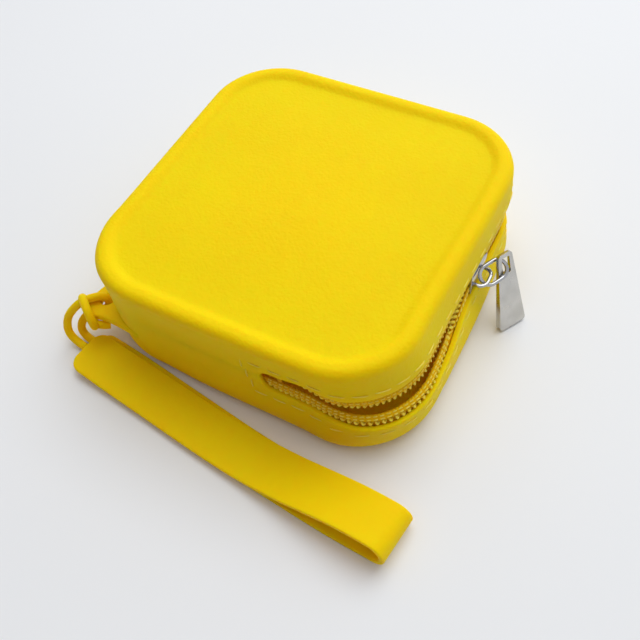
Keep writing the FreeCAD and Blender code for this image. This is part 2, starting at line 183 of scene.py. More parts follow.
# Wrist strap
strap_start = (-57.2, -60.0)
strap_turn = -7.2
strap_width = 16.0
strap_thickness = 1.7
strap_reach = 119.4
strap_near = 0.9
strap_corner = 4.2
strap_edge = 0.45
strap_end_inset = 0.25
strap_end_thinning = 0.6
lower_sway = [(0, -0.8), (20, -1.0), (45, -1.9), (70, -2.7), (90, -2.5), (105, -2.1), (121, -1.1)]
upper_sway = [(0, -2.6), (15, -2.9), (35, -3.2), (56, -3.6), (72, -3.6), (84, -3.2), (96, -2.5),
              (108, -1.6), (121, -0.9)]
upper_levels = [(0, 3.5), (8, 3.3), (22, 2.65), (60, 2.65), (75, 3.2), (88, 5.1), (98, 7.4), (107, 8.9),
                (114, 9.5), (119.4, 9.5)]
upper_tilts = [(0, 0), (62, 0), (80, 0.05), (98, 0.13), (110, 0.17), (119.4, 0.17)]

# Cord from the strap, through the ear and back, and the hitch over the ear's tip.
cord_diameter = 2.8
cord_route = [
    (-57.46, -61.68, 1.75), (-61.4, -61.19, 1.75), (-65.0, -60.6, 5.4), (-65.4, -58.0, 10.2),
    (-62.7, -55.4, 14.4), (-59.3, -52.5, 17.4), (-53.95, -47.75, 17.4), (-53.95, -47.75, 10.3),
    (-58.7, -51.9, 10.3), (-61.2, -54.6, 8.9), (-62.4, -57.0, 5.2), (-60.6, -57.86, 1.75),
    (-57.04, -58.30, 1.75)]
hitch_route = [
    (-59.0, -45.2, 10.6), (-62.3, -48.9, 12.2), (-60.0, -51.0, 13.9), (-55.6, -55.5, 13.9),
    (-53.0, -57.2, 12.0), (-49.9, -54.0, 10.3)]

# Hitch band that goes over the strands and round the ear: (across, up) from the ear's middle
band_out = 78.9
band_across = -1.8
band_scale = 0.86
band_line = [(0, 4.5), (3.4, 4.2), (6.3, 2.3), (6.7, -0.8), (4.4, -3.0), (0, -3.1), (-4.4, -3.0),
             (-6.6, -0.8), (-6.0, 2.4), (-3.2, 4.3)]
band_lean = 0.15
band_diameter = 2.9

# Floor
floor_reach = 1500.0
floor_drop = 0.05

# Light, in metres and watts: the room's colour goes with the angle from its bright side
room_light = 1.0
room_bright_side = (0.08, 0.45, 0.89)
room_colours = [(0.0, (0.09, 0.035, 0.005)), (0.25, (0.125, 0.07, 0.03)), (0.6, (0.63, 0.64, 0.66)),
                (0.95, (0.93, 0.97, 1.0))]
backdrop_colour = (0.80, 0.81, 0.83)
window_place = (0.05, 0.38, 0.82)
window_aim = (0, 0, 0.02)
window_size = 0.75
window_power = 4.5
window_colour = (0.95, 0.98, 1.0)
glow_place = (0.0, 0.0, 0.024)
glow_size = 0.012
glow_power = 0.0045
glow_colour = (1.0, 0.60, 0.15)


def neighbours(row, number):
    """The items before and after one in a row, or the item itself at an end."""
    return row[max(number - 1, 0)], row[min(number + 1, len(row) - 1)]


def eased(place, knots):
    """Value at a place, on a smooth line through knots of (place, value, ...)."""
    if place <= knots[0][0]:
        return np.array(knots[0][1:], float)
    if place >= knots[-1][0]:
        return np.array(knots[-1][1:], float)
    number = 1
    while place > knots[number][0]:
        number += 1
    before, after = knots[number - 1], knots[number]
    gap = after[0] - before[0]
    share = (place - before[0]) / gap
    start, end = np.array(before[1:], float), np.array(after[1:], float)
    slopes = []
    for middle in (number - 1, number):
        first, last = neighbours(knots, middle)
        slopes.append((np.array(last[1:], float) - np.array(first[1:], float)) / (last[0] - first[0]) * gap)
    square, cube = share ** 2, share ** 3
    return (start * (1 - 3 * square + 2 * cube) + end * (3 * square - 2 * cube)
            + slopes[0] * (share - 2 * square + cube) + slopes[1] * (cube - square))


def smooth_share(value):
    """Share from 0 to 1 that eases in and out."""
    value = min(max(value, 0.0), 1.0)
    return value * value * (3 - 2 * value)


def quarter_turns(steps):
    """Angles from 0 to a quarter turn."""
    return [math.radians(90 * step / steps) for step in range(steps + 1)]


def along_wall(outward):
    """Level direction along a wall that faces outward."""
    return Vector((-outward.y, outward.x, 0))


def matrix_of(*axes):
    """Rotation with the given three axes."""
    return Matrix(axes).transposed()


def add_object(name, data):
    """New object in the scene."""
    item = bpy.data.objects.new(name, data)
    bpy.context.scene.collection.objects.link(item)
    return item


def add_piece(name, points, faces, material):
    """Mesh piece from points in millimetres, smooth shaded."""
    mesh = bpy.data.meshes.new(name)
    mesh.from_pydata([tuple(point * MM for point in place) for place in points], [], faces)
    mesh.materials.append(material)
    mesh.polygons.foreach_set("use_smooth", [True] * len(mesh.polygons))
    return add_object(name, mesh)


def finished(piece):
    """Turn a piece's live modifiers into its plain mesh."""
    bpy.context.view_layer.update()
    depsgraph = bpy.context.evaluated_depsgraph_get()
    mesh = bpy.data.meshes.new_from_object(piece.evaluated_get(depsgraph), depsgraph=depsgraph)
    piece.modifiers.clear()
    piece.data = mesh


def sweep(rings, closed_ends=True):
    """Faces that join rings of equal count into a tube, with flat ends."""
    count = len(rings[0])
    points = [point for ring in rings for point in ring]
    faces = []
    for row in range(len(rings) - 1):
        for column in range(count):
            after = (column + 1) % count
            faces.append((row * count + column, row * count + after,
                          (row + 1) * count + after, (row + 1) * count + column))
    if closed_ends:
        faces.append(tuple(reversed(range(count))))
        faces.append(tuple((len(rings) - 1) * count + column for column in range(count)))
    return points, faces


def outward_normals(piece):
    """Merge doubles and point every face outwards."""
    work = bmesh.new()
    work.from_mesh(piece.data)
    bmesh.ops.remove_doubles(work, verts=work.verts, dist=0.001 * MM)
    bmesh.ops.recalc_face_normals(work, faces=work.faces)
    work.to_mesh(piece.data)
    work.free()
    return piece


def swept_piece(name, rings, material, closed_ends=True):
    """Piece through rings of points."""
    return outward_normals(add_piece(name, *sweep(rings, closed_ends), material))


# Materials


def new_material(name, pattern="Object"):
    """Material with its tree, its shader and the coordinate that its patterns start from."""
    material = bpy.data.materials.new(name)
    material.use_nodes = True
    tree = material.node_tree
    shader = tree.nodes["Principled BSDF"]
    coordinate = tree.nodes.new("ShaderNodeTexCoord")
    return material, tree, shader, coordinate.outputs[pattern]


def set_inputs(node, values):
    """Set a node's own inputs by name."""
    for name, value in values.items():
        node.inputs[name].default_value = value


def add_noise(tree, vector, scale, detail, roughness=0.5):
    """Value of a noise pattern at a place."""
    noise = tree.nodes.new("ShaderNodeTexNoise")
    set_inputs(noise, {"Scale": scale, "Detail": detail, "Roughness": roughness})
    tree.links.new(vector, noise.inputs["Vector"])
    return noise.outputs["Fac"]


def add_math(tree, operation, first, second):
    """Sum, product or the like of two values."""
    node = tree.nodes.new("ShaderNodeMath")
    node.operation = operation
    tree.links.new(first, node.inputs[0])
    tree.links.new(second, node.inputs[1])
    return node.outputs["Value"]


def add_ramp(tree, factor, stops):
    """Colour that changes with a value, through stops of (value, colour)."""
    ramp = tree.nodes.new("ShaderNodeValToRGB")
    ramp.color_ramp.elements.remove(ramp.color_ramp.elements[1])
    ramp.color_ramp.elements[0].position = stops[0][0]
    ramp.color_ramp.elements[0].color = (*stops[0][1], 1)
    for place, colour in stops[1:]:
        ramp.color_ramp.elements.new(place).color = (*colour, 1)
    tree.links.new(factor, ramp.inputs["Fac"])
    return ramp.outputs["Color"]


def cloud_colour(tree, shader, place, scale, detail, stops):
    """Base colour that drifts from shade to shade."""
    colour = add_ramp(tree, add_noise(tree, place, scale, detail), stops)
    tree.links.new(colour, shader.inputs["Base Color"])


def cloud_roughness(tree, shader, place, scale, low, high):
    """Roughness that drifts between two values."""
    rough = tree.nodes.new("ShaderNodeMapRange")
    set_inputs(rough, {"To Min": low, "To Max": high})
    tree.links.new(add_noise(tree, place, scale, 4), rough.inputs["Value"])
    tree.links.new(rough.outputs["Result"], shader.inputs["Roughness"])


def add_bump(tree, shader, height, strength, depth, before=None):
    """Fine relief from a height pattern, on top of an earlier one."""
    bump = tree.nodes.new("ShaderNodeBump")
    set_inputs(bump, {"Strength": strength, "Distance": depth * MM})
    tree.links.new(height, bump.inputs["Height"])
    if before is not None:
        tree.links.new(before, bump.inputs["Normal"])
    tree.links.new(bump.outputs["Normal"], shader.inputs["Normal"])
    return bump.outputs["Normal"]


def silicone(name, light, deep, grain):
    """Matte moulded silicone: slight clouding, a fine pebbled grain, light that soaks in."""
    material, tree, shader, place = new_material(name)
    cloud_colour(tree, shader, place, 30, 3, [(0.3, deep), (0.7, light)])
    cloud_roughness(tree, shader, place, 160, 0.56, 0.70)
    pebbles = tree.nodes.new("ShaderNodeTexVoronoi")
    pebbles.feature = "SMOOTH_F1"
    set_inputs(pebbles, {"Scale": 1150})
    tree.links.new(place, pebbles.inputs["Vector"])
    fine = add_bump(tree, shader, pebbles.outputs["Distance"], grain, 0.16)
    add_bump(tree, shader, add_noise(tree, place, 900, 3, 0.6), grain * 0.8, 0.25, fine)
    set_inputs(shader, {"Specular IOR Level": 0.22, "Specular Tint": (1.0, 0.86, 0.25, 1),
                        "Subsurface Weight": 0.70, "Subsurface Radius": (1.0, 0.42, 0.03),
                        "Subsurface Scale": 3.5 * MM})
    return material


def nylon(name, light, deep):
    """Glossy drawn nylon of the zip coil."""
    material, tree, shader, place = new_material(name)
    cloud_colour(tree, shader, place, 420, 2, [(0.3, deep), (0.7, light)])
    add_bump(tree, shader, add_noise(tree, place, 1500, 2), 0.15, 0.1)
    set_inputs(shader, {"Roughness": 0.34, "Specular IOR Level": 0.35, "Specular Tint": (1.0, 0.88, 0.35, 1),
                        "Subsurface Weight": 0.30, "Subsurface Radius": (1.0, 0.6, 0.1),
                        "Subsurface Scale": 1.0 * MM})
    return material


def woven(name, light, deep, along, across):
    """Woven tape: ribs along and across its own map."""
    material, tree, shader, place = new_material(name, "UV")
    heights = []
    for direction, scale in (("X", along), ("Y", across)):
        wave = tree.nodes.new("ShaderNodeTexWave")
        wave.bands_direction = direction
        set_inputs(wave, {"Scale": scale, "Distortion": 0.4})
        tree.links.new(place, wave.inputs["Vector"])
        heights.append(wave.outputs["Fac"])
    weave = add_math(tree, "MULTIPLY", *heights)
    tree.links.new(add_ramp(tree, weave, [(0.0, deep), (0.6, light)]), shader.inputs["Base Color"])
    add_bump(tree, shader, weave, 0.5, 0.15)
    set_inputs(shader, {"Roughness": 0.75, "Specular IOR Level": 0.2, "Specular Tint": (1.0, 0.8, 0.2, 1)})
    return material


def polished(name, light, deep, low, high, scratch):
    """Plated metal with faint smears and hairline scratches."""
    material, tree, shader, place = new_material(name)
    cloud_colour(tree, shader, place, 180, 3, [(0.35, deep), (0.65, light)])
    cloud_roughness(tree, shader, place, 300, low, high)
    stretch = tree.nodes.new("ShaderNodeMapping")
    set_inputs(stretch, {"Scale": (1, 1, 0.08)})
    tree.links.new(place, stretch.inputs["Vector"])
    add_bump(tree, shader, add_noise(tree, stretch.outputs["Vector"], 1800, 2), scratch, 0.05)
    set_inputs(shader, {"Metallic": 1.0})
    return material


case_silicone = silicone("case_silicone", (0.98, 0.675, 0.001), (0.95, 0.635, 0.001), 0.62)
strap_silicone = silicone("strap_silicone", (0.98, 0.65, 0.001), (0.96, 0.61, 0.001), 0.18)
cord_silicone = silicone("cord_silicone", (0.98, 0.67, 0.001), (0.95, 0.62, 0.001), 0.10)
# Coil: yellow nylon, painted paler than the case's yellow as painted light for the dim mouth it sits in
coil_nylon_painted_light = nylon("coil_nylon_painted_light", (1.0, 0.80, 0.09), (0.98, 0.72, 0.05))
stop_nylon = nylon("stop_nylon", (0.72, 0.40, 0.008), (0.60, 0.31, 0.006))
thread_yellow = nylon("thread_yellow", (0.99, 0.78, 0.13), (0.97, 0.71, 0.08))
# Tape: a woven yellow, painted darker and more orange than its own colour as painted shade for the slot it
# lies in
tape_weave_painted_shade = woven("tape_weave_painted_shade", (0.92, 0.58, 0.006), (0.80, 0.44, 0.003), 0.35, 0.5)
slider_chrome = polished("slider_chrome", (0.52, 0.52, 0.53), (0.36, 0.36, 0.37), 0.10, 0.18, 0.05)
pull_chrome = polished("pull_chrome", (0.60, 0.585, 0.55), (0.53, 0.515, 0.48), 0.20, 0.32, 0.10)


# Camera


def make_camera():
    """Camera at the photograph's place, turned with its roll."""
    data = bpy.data.cameras.new("camera")
    data.lens = camera_lens
    data.sensor_width = sensor_width
    data.clip_start = 1 * MM
    camera = add_object("camera", data)
    back = -Vector(camera_forward).normalized()
    up = Vector(camera_up).normalized()
    turn = matrix_of(up.cross(back), up, back)
    camera.matrix_world = Matrix.Translation(Vector(camera_place) * MM) @ turn.to_4x4()
    bpy.context.scene.camera = camera


make_camera()


# Cord and hitch


def spline_points(route, fineness=10, closed=False):
    """Points of the smooth curve that a route's points control, in millimetres."""
    curve = bpy.data.curves.new("route", "CURVE")
    curve.dimensions = "3D"
    curve.resolution_u = fineness
    spline = curve.splines.new("NURBS")
    spline.points.add(len(route) - 1)
    for point, place in zip(spline.points, route):
        point.co = (*place, 1)
    spline.order_u = 3
    spline.use_cyclic_u = closed
    spline.use_endpoint_u = not closed
    holder = add_object("route", curve)
    depsgraph = bpy.context.evaluated_depsgraph_get()
    mesh = bpy.data.meshes.new_from_object(holder.evaluated_get(depsgraph))
    points = [vertex.co.copy() for vertex in mesh.vertices]
    bpy.data.objects.remove(holder)
    return points


def round_ring(place, side, other, radius, sides, start=0.0):
    """Points of a circle round a place, from one of its two directions towards the other."""
    angles = [2 * math.pi * (number + start) / sides for number in range(sides)]
    return [place + (side * math.cos(angle) + other * math.sin(angle)) * radius for angle in angles]


def tube_along(name, points, diameter, material, sides=20):
    """Round tube along points, its section carried without twist, with flat ends."""
    rings = []
    side = None
    for number, place in enumerate(points):
        before, after = neighbours(points, number)
        tangent = (after - before).normalized()
        if side is None:
            side = tangent.orthogonal().normalized()
        side = (side - tangent * side.dot(tangent)).normalized()
        rings.append(round_ring(place, side, tangent.cross(side), diameter / 2, sides))
    return swept_piece(name, rings, material)


cord_line = spline_points(cord_route)
strap_cord = tube_along("strap_cord_tube", cord_line, cord_diameter, cord_silicone)
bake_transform(strap_cord)
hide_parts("strap_cord")

hitch = tube_along("hitch_tube", spline_points(hitch_route), cord_diameter, cord_silicone)
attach(hitch, "case")
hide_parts("cord_hitch")


def ear_place(out, across, level):
    """Place along the front left diagonal and across it."""
    return Vector(((across - out) / math.sqrt(2), (-out - across) / math.sqrt(2), level))


def make_band():
    """Closed turn of the hitch round the ear and the strands."""
    route = []
    for across, up in band_line:
        across *= band_scale
        route.append(ear_place(band_out - across * band_lean, across + band_across, ear_level + up))
    points = spline_points(route, 8, closed=True)
    axis = ear_place(1, 0, 0)
    rings = []
    for number, place in enumerate(points):
        way = (points[(number + 1) % len(points)] - points[number - 1]).normalized()
        other = way.cross(axis).normalized()
        rings.append(round_ring(place, other.cross(way), other, band_diameter / 2, 18))
    piece = swept_piece("hitch_band", rings + rings[:1], cord_silicone, closed_ends=False)
    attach(piece, "case")


make_band()


# Case skin


def mirrored(distance):
    """The same place on the other side of the right wall's middle."""
    return 2 * quarter - distance


def wall_place(distance):
    """Place on the wall's outer face and its outward direction, anticlockwise from the front's middle."""
    number, rest = divmod(distance + corner_start, quarter)
    if rest < side_run:
        outward = Vector((0, -1, 0))
        place = Vector((rest - corner_start, -half, 0))
    else:
        angle = (rest - side_run) / corner_radius
        outward = Vector((math.sin(angle), -math.cos(angle), 0))
        place = Vector((corner_start, -corner_start, 0)) + outward * corner_radius
    turn = Matrix.Rotation(math.radians(90 * number), 3, "Z")
    return turn @ place, turn @ outward


def wall_distances():
    """Distances round the wall, close together at the ends of the mouth and round the corners."""
    reach = end_reach + lip_radius
    end = [end_middle - reach * math.cos(math.radians(turn)) for turn in range(0, 91, 10)]
    first = list(np.linspace(0, end[0], 7))[:-1] + end
    for stop, steps in ((corner_start, 8), (corner_start + corner_run, 18), (quarter, 16)):
        first += list(np.linspace(first[-1], stop, steps + 1))[1:]
    distances = first + [mirrored(distance) for distance in reversed(first[:-1])]
    back = ((corner_start, 14), (corner_run, 18), (side_run, 28), (corner_run, 18), (corner_start, 14))
    for run, steps in back:
        distances += list(np.linspace(distances[-1], distances[-1] + run, steps + 1))[1:]
    return distances[:-1]


def push(distance, level):
    """How far the soft wall stands outside its plain place."""
    around = distance % (4 * quarter)
    near = min(around, mirrored(around)) if around < 2 * quarter else 0
    swell = eased(around, corner_swell)[0]
    if level > mouth_middle:
        lip = eased(near, upper_lip_line)[0]
        rim = eased(around, rim_lean)[0] * smooth_share((level - lip) / (case_top - lip))
        share = smooth_share((case_top - level) / (case_top - lip))
        return swell + rim + eased(around, upper_lean)[0] * share
    lip = eased(near, lower_lip_line)[0]
    share = smooth_share((level - lean_foot) / (lip - lean_foot))
    return swell + eased(around, wall_lean)[0] * (1 - share) + eased(around, lower_lean)[0] * share


def mouth_lip(distance, line):
    """Height of a lip, which is the same on both sides of the right wall's middle once the zip is closed."""
    return eased(min(distance, mirrored(distance)), line)[0]


def mouth_edge(distance, sign):
    """Height where the wall's flat face ends, and the way from there into the mouth, if it is there."""
    near = min(distance, mirrored(distance))
    reach = end_reach + lip_radius
    rise = end_rise[sign] + lip_radius
    if near < end_middle - reach - 1e-6:
        return mouth_middle, None
    if near < end_middle:
        cosine = (end_middle - near) / reach
        sine = math.sqrt(max(0.0, 1 - cosine * cosine))
        ahead = 1 if distance < quarter else -1
        return mouth_middle + sign * rise * sine, (ahead * cosine, -sign * sine)
    line = upper_lip_line if sign > 0 else lower_lip_line
    end = mouth_middle + sign * rise
    lip = eased(near, line)[0] + sign * lip_radius
    share = smooth_share((near - end_middle) / lip_ease)
    return end * (1 - share) + lip * share, (0.0, -sign)


def skin_column(distance, sign):
    """One column of the skin: from the pole down the outside to the lip, then back up the inside."""
    base, outward = wall_place(distance)
    along = along_wall(outward)
    edge, into_mouth = mouth_edge(distance, sign)

    def place(inward, level, share=1.0):
        spot = (base - outward * (inward - push(distance, level))) * share
        return Vector((spot.x, spot.y, level))

    upper = sign > 0
    radius = top_radius if upper else base_radius
    end = case_top if upper else 0.0
    inner_end = case_top - dish_depth - wall if upper else floor_thickness
    deep = corner_radius * 0.6
    dish = case_top - dish_depth if upper else base_recess
    crown = dish_crown if upper else 0.0
    rows = [place(deep, dish + crown * (1 - share * share), share) for share in (0.0, 0.3, 0.6, 0.85, 1.0)]
    slope_end = radius + rim_crest + rim_slope
    rows.append(place(slope_end + 2 * lip_band, dish))
    for step in range(7):
        level = dish + (end - dish) * smooth_share(step / 6)
        rows.append(place(slope_end - rim_slope * step / 6, level))
    rows.append(place(radius + rim_crest / 2, end))
    for turn in quarter_turns(10):
        rows.append(place(radius * (1 - math.sin(turn)), end - sign * radius * (1 - math.cos(turn))))
    near = edge + sign * lip_band
    start = end - sign * radius
    rows += [place(0, start + (near - start) * share / 8) for share in range(1, 9)]
    rows.append(place(0, edge))
    curve = [(lip_radius * (1 - math.cos(turn)), lip_radius * math.sin(turn))
             for turn in quarter_turns(3)[1:]]
    curve += [(wall - inward, reach) for inward, reach in reversed(curve)]
    for number, (inward, reach) in enumerate(curve):
        if into_mouth is None:
            rows.append(place(wall * (number + 1) / (len(curve) + 1), edge))
        else:
            spot = place(inward, edge) + along * (into_mouth[0] * reach)
            spot.z = edge + into_mouth[1] * reach
            rows.append(spot)
    rows.append(place(wall, edge))
    inner_radius = radius - wall
    inner_start = inner_end - sign * inner_radius
    rows += [place(wall, near + (inner_start - near) * share / 5) for share in range(5)]
    for turn in reversed(quarter_turns(6)):
        rows.append(place(wall + inner_radius * (1 - math.sin(turn)),
                          inner_end - sign * inner_radius * (1 - math.cos(turn))))
    rows += [place(deep, inner_end, share) for share in (1.0, 0.6, 0.3, 0.0)]
    return rows


def make_skin(name, sign):
    """Closed silicone skin on one side of the mouth: the lid's, or the base's."""
    columns = [skin_column(distance, sign) for distance in wall_distances()]
    points, faces = sweep(columns + columns[:1], closed_ends=False)
    count = len(columns[0])
    faces = [face for face in faces if not {0, count - 1} <= {number % count for number in face}]
    piece = outward_normals(add_piece(name, points, faces, case_silicone))
    work = bmesh.new()
    work.from_mesh(piece.data)
    for line in work.edges:
        on_seam = all(abs(vertex.co.z - mouth_middle * MM) < 1e-7 for vertex in line.verts)
        if on_seam and line.calc_face_angle(0) > 0.8:
            line.smooth = False
    work.to_mesh(piece.data)
    work.free()
    return piece


def bend_with_lid(piece):
    """Bake a piece's place into its mesh."""
    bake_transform(piece)


base_skin = make_skin("base_skin", -1)
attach(base_skin, "case")
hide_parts("case_shell")
lid_skin = make_skin("lid_skin", 1)
bend_with_lid(lid_skin)
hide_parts("lid_flap")


# Strap ear


def ear_outline():
    """The ear seen from above, as (out, across): flared at its root, round at its tip."""
    tip_depth = ear_tip_half * ear_tip_bluntness
    tip_start = ear_tip_out - tip_depth
    edges = []
    for side in (-1, 1):
        edge = []
        for step in range(13):
            share = step / 12
            narrow = ear_tip_half + (ear_root_half - ear_tip_half) * (1 - share) ** ear_flare
            edge.append((ear_root_out + (tip_start - ear_root_out) * share,
                         -ear_shift * smooth_share(share * 1.2) + side * narrow))
        edges.append(edge)
    tip = []
    for step in range(1, 12):
        turn = math.pi * step / 12
        tip.append((tip_start + tip_depth * math.sin(turn), -ear_shift - ear_tip_half * math.cos(turn)))
    return edges[0] + tip + edges[1][::-1]


def ear_reach(outline, centre, angle):
    """Distance from the hole's centre to the outline, in one direction."""
    far = centre + Vector((math.cos(angle), math.sin(angle))) * ear_tip_out
    crossings = [intersect_line_line_2d(start, end, centre, far)
                 for start, end in zip(outline, outline[1:] + outline[:1])]
    return max((point - centre).length for point in crossings if point)


def make_ear():
    """Ear with its hitch hole, as rings from the hole out over the top, round the edge and back below."""
    outline = ear_outline()
    centre = Vector((ear_tip_out - ear_hole_from_tip, ear_hole_across))
    rise = ear_thickness / 2
    bore = ear_hole_radius
    flat = bore + ear_hole_lip
    columns = []
    for step in range(72):
        angle = 2 * math.pi * step / 72
        reach = ear_reach(outline, centre, angle)
        upper = [(bore, rise - ear_hole_lip), (bore + ear_hole_lip * 0.3, rise - ear_hole_lip * 0.3)]
        upper += [(flat + (reach - ear_edge - flat) * share / 4, rise) for share in range(5)]
        upper += [(reach - ear_edge * 0.5, rise - ear_edge * 0.13),
                  (reach - ear_edge * 0.13, rise - ear_edge * 0.5), (reach, rise - ear_edge)]
        column = []
        for distance, level in upper + [(distance, -level) for distance, level in reversed(upper)]:
            out = centre[0] + math.cos(angle) * distance
            across = centre[1] + math.sin(angle) * distance
            swell = 1 + ear_thickening * smooth_share((ear_thick_root - out) / ear_thick_run)
            column.append(ear_place(out, across, ear_level + level * swell))
        columns.append(column)
    piece = swept_piece("strap_ear", columns + columns[:1], case_silicone, closed_ends=False)
    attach(piece, "case")


make_ear()


# Repeats: one small piece set on many places by a node tree


def repeat_tree():
    """Node tree that sets a piece on every point, turned and stretched as the point says."""
    tree = bpy.data.node_groups.new("set_pieces_on_places", "GeometryNodeTree")
    for name, kind in (("Places", "Geometry"), ("Piece", "Object"), ("Finish", "Material")):
        tree.interface.new_socket(name, in_out="INPUT", socket_type="NodeSocket" + kind)
    tree.interface.new_socket("Pieces", in_out="OUTPUT", socket_type="NodeSocketGeometry")
    nodes, links = tree.nodes, tree.links
    inputs = nodes.new("NodeGroupInput")
    outputs = nodes.new("NodeGroupOutput")
    info = nodes.new("GeometryNodeObjectInfo")
    links.new(inputs.outputs["Piece"], info.inputs["Object"])
    values = {}
    for name in ("turn", "stretch"):
        attribute = nodes.new("GeometryNodeInputNamedAttribute")
        attribute.data_type = "FLOAT_VECTOR"
        attribute.inputs["Name"].default_value = name
        values[name] = attribute.outputs["Attribute"]
    rotation = nodes.new("FunctionNodeEulerToRotation")
    links.new(values["turn"], rotation.inputs["Euler"])
    instances = nodes.new("GeometryNodeInstanceOnPoints")
    links.new(inputs.outputs["Places"], instances.inputs["Points"])
    links.new(info.outputs["Geometry"], instances.inputs["Instance"])
    links.new(rotation.outputs["Rotation"], instances.inputs["Rotation"])
    links.new(values["stretch"], instances.inputs["Scale"])
    real = nodes.new("GeometryNodeRealizeInstances")
    finish = nodes.new("GeometryNodeSetMaterial")
    links.new(instances.outputs["Instances"], real.inputs["Geometry"])
    links.new(real.outputs["Geometry"], finish.inputs["Geometry"])
    links.new(inputs.outputs["Finish"], finish.inputs["Material"])
    links.new(finish.outputs["Geometry"], outputs.inputs["Pieces"])
    return tree


repeats = repeat_tree()


def set_on_places(name, unit, places, finish):
    """Plain mesh of one unit set on places, each given as (point, axes as a matrix, stretch)."""
    piece = add_piece(name, [place[0] for place in places], [], finish)
    turns = piece.data.attributes.new("turn", "FLOAT_VECTOR", "POINT")
    stretches = piece.data.attributes.new("stretch", "FLOAT_VECTOR", "POINT")
    for number, (point, axes, stretch) in enumerate(places):
        turns.data[number].vector = axes.to_euler()
        stretches.data[number].vector = stretch
    modifier = piece.modifiers.new("repeats", "NODES")
    modifier.node_group = repeats
    sockets = {item.name: item.identifier for item in repeats.interface.items_tree if item.in_out == "INPUT"}
    modifier[sockets["Piece"]] = unit
    modifier[sockets["Finish"]] = finish
    finished(piece)
    for attribute in [piece.data.attributes.get(name) for name in ("turn", "stretch")]:
        if attribute:
            piece.data.attributes.remove(attribute)
    return piece


def path_axes(distance, up):
    """Axes of a small piece on the wall: X along the wall, Z along the given way."""
    outward = wall_place(distance)[1]
    up = up.normalized()
    across = up.cross(along_wall(outward)).normalized()
    return matrix_of(across.cross(up), across, up)


# Zip


def coil_places(distance, line):
    """Foot and tip of the coil, each out from the wall's plain path and at its own height."""
    base, outward = wall_place(distance)
    foot_out, foot_level, tip_out, tip_level = eased(distance, line)
    return [Vector((*(base + outward * (out - half)).xy, level))
            for out, level in ((foot_out, foot_level), (tip_out, tip_level))]


def make_coil_turn():
    """One turn of the coil: up the outer face, over the head, down the inner face and on to the next foot."""
    swing = (coil_depth - coil_wire) / 2
    half_pitch = coil_pitch / 2
    top = coil_height - coil_wire / 2 - swing * 0.8
    wide = leg_width
    line = [(-half_pitch, -swing, coil_wire, 1), (-half_pitch * 0.75, -swing * 0.5, coil_wire * 0.55, 1),
            (-half_pitch * 0.3, swing * 0.6, coil_wire * 0.55, 1), (0, swing, coil_wire * 1.2, wide),
            (0, swing, top, wide), (half_pitch * 0.1, swing * 0.7, top + swing * 0.6, wide),
            (half_pitch * 0.3, 0, top + swing * 0.8, wide),
            (half_pitch * 0.6, -swing * 0.7, top + swing * 0.6, wide),
            (half_pitch, -swing, top, 1), (half_pitch, -swing, coil_wire, 1)]
    rings = []
    side = Vector((1, 0, 0))
    for number, (along, across, rise, width) in enumerate(line):
        before, after = neighbours(line, number)
        way = (Vector(after[:3]) - Vector(before[:3])).normalized()
        side = (side - way * side.dot(way)).normalized()
        place = Vector((along, across, rise))
        rings.append(round_ring(place, side * width, way.cross(side), coil_wire / 2, 6, 0.5))
    return swept_piece("coil_turn", rings, coil_nylon_painted_light)


def make_dash(name, length, wire, material):
    """Short stitch that dips into what it sews at both ends."""
    rings = []
    for step in range(7):
        share = step / 6 * 2 - 1
        size = wire / 2 * (0.35 + 0.65 * math.sqrt(max(0.0, 1 - share ** 4)))
        dip = -wire * 0.55 * share ** 4
        middle = Vector((share * length / 2, dip, 0))
        rings.append(round_ring(middle, Vector((0, 1, 0)), Vector((0, 0, 1)), size, 6))
    return swept_piece(name, rings, material)


def make_coils():
    """Both halves of the zip's coil, with the thread that sews each to its tape."""
    turn_piece = make_coil_turn()
    dash = make_dash("coil_dash", coil_dash_length, coil_dash_wire, thread_yellow)
    count = int((coil_end - coil_start) / coil_pitch)
    for name, line, shift in (("lower", lower_coil_line, 0.0), ("upper", upper_coil_line, 0.5)):
        turns = []
        dashes = []
        for number in range(count):
            distance = coil_start + (number + shift) * coil_pitch
            foot, tip = coil_places(distance, line)
            way = tip - foot
            axes = path_axes(distance, way)
            narrow = 1 - (1 - closed_width) * smooth_share((distance - closed_start) / closed_run)
            turns.append((foot, axes, (narrow, 1, way.length / coil_height)))
            outward = axes.col[1] * (1 if axes.col[1].dot(wall_place(distance)[1]) > 0 else -1)
            along = outward.cross(axes.col[2])
            stitch_axes = matrix_of(along, outward, along.cross(outward))
            for seam in coil_seams[name]:
                spot = foot + way * seam + outward * (tape_set_front + tape_thickness / 2)
                dashes.append((spot, stitch_axes, (1, 1, 1)))
        coil = set_on_places(name + "_coil", turn_piece, turns, coil_nylon_painted_light)
        thread = set_on_places(name + "_coil_thread", dash, dashes, thread_yellow)
        for piece, slot in ((coil, "zip_teeth"), (thread, "thread")):
            if name == "lower":
                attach(piece, "case")
            else:
                bend_with_lid(piece)
        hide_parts(name + "_zip_teeth")
    bpy.data.objects.remove(turn_piece)
    bpy.data.objects.remove(dash)


